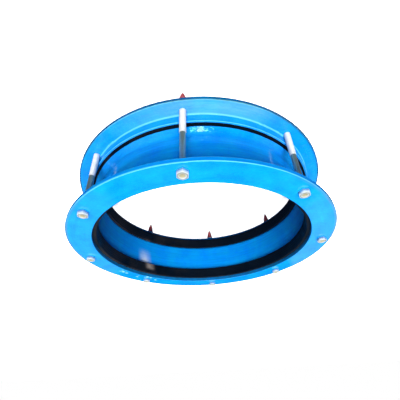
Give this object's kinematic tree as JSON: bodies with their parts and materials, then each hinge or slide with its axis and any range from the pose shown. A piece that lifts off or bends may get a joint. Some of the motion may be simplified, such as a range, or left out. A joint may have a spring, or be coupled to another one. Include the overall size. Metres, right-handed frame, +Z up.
{
  "type": "flexible pipe coupling",
  "caption": "Bolted flexible coupling for plain-ended pipes: short flared sleeve between lipped follower rings, rubber wedge gaskets and long tie bolts.",
  "frame": {"origin": "on the pipe axis, at the surface that the bolt caps stand on", "axes": "+Z up along the pipe axis towards the bolt heads, +X through the first tie bolt"},
  "size_m": [0.8, 0.8, 0.2699],
  "materials": {
    "blue_paint": "gloss",
    "black_rubber": "satin",
    "zinc_plate": "satin",
    "red_plastic": "gloss"
  },
  "bodies": {
    "bolted_top": {"upper_ring": "blue_paint", "upper_gasket": "black_rubber", "tie_bolt_1": "zinc_plate", "tie_bolt_2": "zinc_plate", "tie_bolt_3": "zinc_plate", "tie_bolt_4": "zinc_plate", "tie_bolt_5": "zinc_plate", "tie_bolt_6": "zinc_plate", "tie_bolt_7": "zinc_plate", "tie_bolt_8": "zinc_plate", "end_cap_1": "red_plastic", "end_cap_2": "red_plastic", "end_cap_3": "red_plastic", "end_cap_4": "red_plastic", "end_cap_5": "red_plastic", "end_cap_6": "red_plastic", "end_cap_7": "red_plastic", "end_cap_8": "red_plastic"},
    "sleeve": {"middle_sleeve": "blue_paint"},
    "lower_follower": {"lower_ring": "blue_paint", "lower_gasket": "black_rubber", "washer_1": "zinc_plate", "washer_2": "zinc_plate", "washer_3": "zinc_plate", "washer_4": "zinc_plate", "washer_5": "zinc_plate", "washer_6": "zinc_plate", "washer_7": "zinc_plate", "washer_8": "zinc_plate"},
    "turning_nut_1": {"nut_1": "zinc_plate"},
    "turning_nut_2": {"nut_2": "zinc_plate"},
    "turning_nut_3": {"nut_3": "zinc_plate"},
    "turning_nut_4": {"nut_4": "zinc_plate"},
    "turning_nut_5": {"nut_5": "zinc_plate"},
    "turning_nut_6": {"nut_6": "zinc_plate"},
    "turning_nut_7": {"nut_7": "zinc_plate"},
    "turning_nut_8": {"nut_8": "zinc_plate"}
  },
  "joints": [
    {"name": "lower_ring_slide", "type": "slide", "parent": "bolted_top", "child": "lower_follower", "axis": [0, 0, 1], "range_m": [0, 0.008], "deforming": ["lower_gasket"]},
    {"name": "sleeve_slide", "type": "slide", "parent": "bolted_top", "child": "sleeve", "axis": [0, 0, 1], "range_m": [0, 0.004], "deforming": ["upper_gasket"]},
    {"name": "nut_1_turn", "type": "hinge", "parent": "lower_follower", "child": "turning_nut_1", "pos_m": [0.371, 0, 0.048], "axis": [0, 0, 1], "range_deg": [0, 1440]},
    {"name": "nut_2_turn", "type": "hinge", "parent": "lower_follower", "child": "turning_nut_2", "pos_m": [0.26234, 0.26234, 0.048], "axis": [0, 0, 1], "range_deg": [0, 1440]},
    {"name": "nut_3_turn", "type": "hinge", "parent": "lower_follower", "child": "turning_nut_3", "pos_m": [0, 0.371, 0.048], "axis": [0, 0, 1], "range_deg": [0, 1440]},
    {"name": "nut_4_turn", "type": "hinge", "parent": "lower_follower", "child": "turning_nut_4", "pos_m": [-0.26234, 0.26234, 0.048], "axis": [0, 0, 1], "range_deg": [0, 1440]},
    {"name": "nut_5_turn", "type": "hinge", "parent": "lower_follower", "child": "turning_nut_5", "pos_m": [-0.371, 0, 0.048], "axis": [0, 0, 1], "range_deg": [0, 1440]},
    {"name": "nut_6_turn", "type": "hinge", "parent": "lower_follower", "child": "turning_nut_6", "pos_m": [-0.26234, -0.26234, 0.048], "axis": [0, 0, 1], "range_deg": [0, 1440]},
    {"name": "nut_7_turn", "type": "hinge", "parent": "lower_follower", "child": "turning_nut_7", "pos_m": [0, -0.371, 0.048], "axis": [0, 0, 1], "range_deg": [0, 1440]},
    {"name": "nut_8_turn", "type": "hinge", "parent": "lower_follower", "child": "turning_nut_8", "pos_m": [0.26234, -0.26234, 0.048], "axis": [0, 0, 1], "range_deg": [0, 1440]}
  ],
  "couplings": [
    {"joint": "sleeve_slide", "follows": "lower_ring_slide", "ratio": 0.5},
    {"joint": "nut_1_turn", "follows": "lower_ring_slide", "rad_per_m": 3141.6},
    {"joint": "nut_2_turn", "follows": "lower_ring_slide", "rad_per_m": 3141.6},
    {"joint": "nut_3_turn", "follows": "lower_ring_slide", "rad_per_m": 3141.6},
    {"joint": "nut_4_turn", "follows": "lower_ring_slide", "rad_per_m": 3141.6},
    {"joint": "nut_5_turn", "follows": "lower_ring_slide", "rad_per_m": 3141.6},
    {"joint": "nut_6_turn", "follows": "lower_ring_slide", "rad_per_m": 3141.6},
    {"joint": "nut_7_turn", "follows": "lower_ring_slide", "rad_per_m": 3141.6},
    {"joint": "nut_8_turn", "follows": "lower_ring_slide", "rad_per_m": 3141.6}
  ]
}
